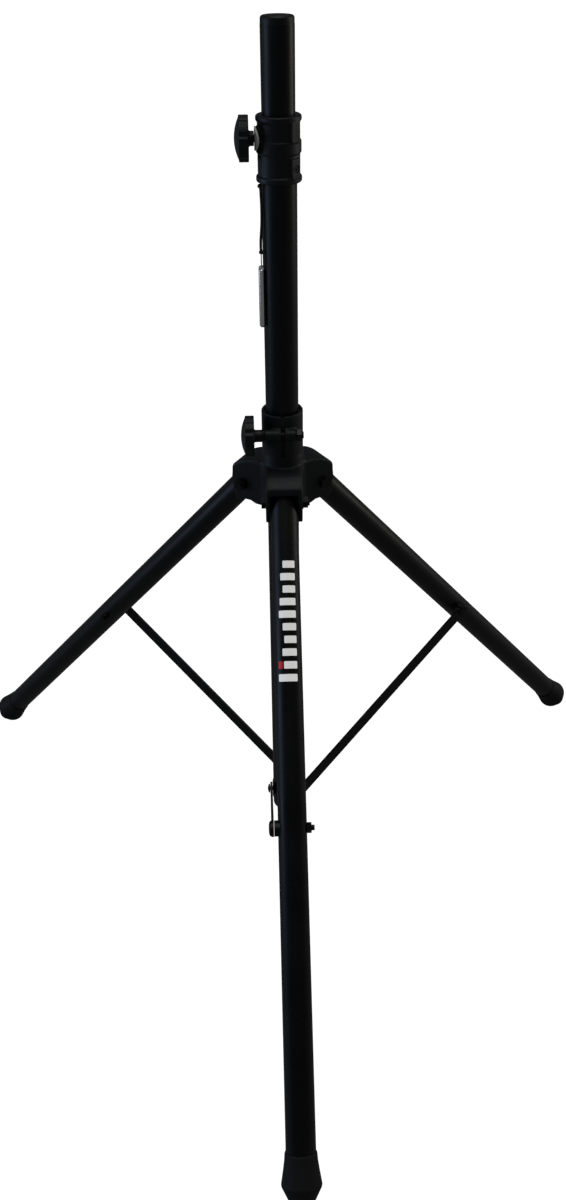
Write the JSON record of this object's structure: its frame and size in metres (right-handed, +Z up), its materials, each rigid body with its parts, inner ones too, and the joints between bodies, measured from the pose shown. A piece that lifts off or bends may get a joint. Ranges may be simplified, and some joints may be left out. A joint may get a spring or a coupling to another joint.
{
  "type": "speaker tripod stand",
  "caption": "Folding tripod stand for a loudspeaker: telescoping pole, clamping collar and knobs, sliding crown, tube legs tied to the column by flat straps, and rubber feet.",
  "frame": {"origin": "on the floor, in the middle of the stand's outline; the column's axis stands 128.0 mm behind it on +Y", "axes": "+Z up along the column, the front leg towards -Y, the knobs on -X"},
  "size_m": [0.9282, 0.8103, 1.092],
  "materials": {
    "powder_coat": "satin black powder coat on steel tube",
    "collar_plastic": "moulded glass-filled nylon, dark grey black",
    "crown_enamel": "textured dark grey enamel on die-cast aluminium",
    "knob_plastic": "moulded black plastic",
    "bush_nylon": "plain dark nylon",
    "cap_plastic": "moulded black plastic",
    "foot_rubber": "matt black rubber",
    "black_bolt": "black oxide on steel",
    "bare_steel": "zinc plated steel",
    "bright_steel": "bright nickel plate",
    "pad_brass": "plain brass",
    "strap_paint": "satin black paint on flat steel",
    "cord_braid": "braided black polyester cord"
  },
  "bodies": {
    "column": {"outer_tube": "powder_coat", "bottom_plug": "cap_plastic", "bottom_bracket": "strap_paint", "bracket_screw": "black_bolt", "bracket_bolts": "black_bolt", "bracket_inserts": "pad_brass", "upper_collar": "collar_plastic", "collar_liner": "bush_nylon", "collar_screws": "black_bolt", "knob_saddle": "bright_steel"},
    "pole": {"pole": "powder_coat", "pole_cap": "cap_plastic", "pole_guide": "bush_nylon"},
    "upper_clamp": {"upper_clamp_pad": "pad_brass"},
    "upper_knob": {"upper_knob": "knob_plastic", "upper_knob_stud": "bare_steel"},
    "crown": {"crown": "crown_enamel", "crown_liners": "bush_nylon", "leg_pivot_bolts": "black_bolt", "leg_pivot_nuts": "black_bolt", "clamp_nut": "bare_steel"},
    "lower_clamp": {"lower_clamp_washer": "bare_steel"},
    "lower_knob": {"lower_knob": "knob_plastic", "lower_clamp_bolt": "bare_steel"},
    "lanyard": {"lanyard_knots": "cord_braid", "lanyard_cord": "cord_braid", "pin_link": "bright_steel", "safety_pin": "bright_steel"},
    "front_leg": {"front_leg": "powder_coat", "front_leg_plug": "bush_nylon", "front_foot": "foot_rubber", "front_strap_stud": "black_bolt", "front_strap_nut": "black_bolt", "front_strap_spacer": "strap_paint"},
    "front_strap": {"front_strap": "strap_paint", "front_strap_bolt": "black_bolt"},
    "right_leg": {"right_leg": "powder_coat", "right_leg_plug": "bush_nylon", "right_foot": "foot_rubber", "right_strap_stud": "black_bolt", "right_strap_nut": "black_bolt", "right_strap_spacer": "strap_paint"},
    "right_strap": {"right_strap": "strap_paint", "right_strap_bolt": "black_bolt"},
    "left_leg": {"left_leg": "powder_coat", "left_leg_plug": "bush_nylon", "left_foot": "foot_rubber", "left_strap_stud": "black_bolt", "left_strap_nut": "black_bolt", "left_strap_spacer": "strap_paint"},
    "left_strap": {"left_strap": "strap_paint", "left_strap_bolt": "black_bolt"}
  },
  "joints": [
    {"name": "pole_slide", "type": "slide", "parent": "column", "child": "pole", "axis": [0, 0, 1], "range_m": [0, 0.7]},
    {"name": "crown_slide", "type": "slide", "parent": "column", "child": "crown", "axis": [0, 0, 1], "range_m": [0, 0.2248]},
    {"name": "upper_knob_turn", "type": "hinge", "parent": "upper_clamp", "child": "upper_knob", "pos_m": [-0.036, 0.12803, 0.974], "axis": [-1, 0, 0], "range_deg": [0, 540]},
    {"name": "upper_clamp_travel", "type": "slide", "parent": "column", "child": "upper_clamp", "axis": [-1, 0, 0], "range_m": [0, 0.0019]},
    {"name": "lower_knob_turn", "type": "hinge", "parent": "lower_clamp", "child": "lower_knob", "pos_m": [-0.036, 0.10253, 0.645], "axis": [-1, 0, 0], "range_deg": [0, 540]},
    {"name": "lower_clamp_travel", "type": "slide", "parent": "crown", "child": "lower_clamp", "axis": [-1, 0, 0], "range_m": [0, 0.0019]},
    {"name": "front_leg_fold", "type": "hinge", "parent": "crown", "child": "front_leg", "pos_m": [0, 0.08303, 0.567], "axis": [1, 0, 0], "range_deg": [0, 39.7]},
    {"name": "front_strap_fold", "type": "hinge", "parent": "column", "child": "front_strap", "pos_m": [0, 0.12803, 0.077], "axis": [-1, 0, 0], "range_deg": [0, 44.9]},
    {"name": "right_leg_fold", "type": "hinge", "parent": "crown", "child": "right_leg", "pos_m": [0.03897, 0.15053, 0.567], "axis": [-0.5, 0.866, 0], "range_deg": [0, 39.7]},
    {"name": "right_strap_fold", "type": "hinge", "parent": "column", "child": "right_strap", "pos_m": [0, 0.12803, 0.077], "axis": [0.5, -0.866, 0], "range_deg": [0, 44.9]},
    {"name": "left_leg_fold", "type": "hinge", "parent": "crown", "child": "left_leg", "pos_m": [-0.03897, 0.15053, 0.567], "axis": [-0.5, -0.866, 0], "range_deg": [0, 39.7]},
    {"name": "left_strap_fold", "type": "hinge", "parent": "column", "child": "left_strap", "pos_m": [0, 0.12803, 0.077], "axis": [0.5, 0.866, 0], "range_deg": [0, 44.9]},
    {"name": "lanyard_swing", "type": "hinge", "parent": "column", "child": "lanyard", "pos_m": [-0.0206, 0.11903, 0.9272], "axis": [-0.4004, 0.9164, 0], "range_deg": [0, 60.5]}
  ],
  "couplings": [
    {"joint": "upper_clamp_travel", "follows": "upper_knob_turn", "m_per_rad": 0.00019894},
    {"joint": "lower_clamp_travel", "follows": "lower_knob_turn", "m_per_rad": 0.00019894},
    {"joint": "front_leg_fold", "follows": "crown_slide", "rad_per_m": 3.0745},
    {"joint": "front_strap_fold", "follows": "crown_slide", "rad_per_m": 3.467},
    {"joint": "right_leg_fold", "follows": "crown_slide", "rad_per_m": 3.0745},
    {"joint": "right_strap_fold", "follows": "crown_slide", "rad_per_m": 3.467},
    {"joint": "left_leg_fold", "follows": "crown_slide", "rad_per_m": 3.0745},
    {"joint": "left_strap_fold", "follows": "crown_slide", "rad_per_m": 3.467},
    {"joint": "lanyard_swing", "follows": "crown_slide", "rad_per_m": 4.6584}
  ]
}
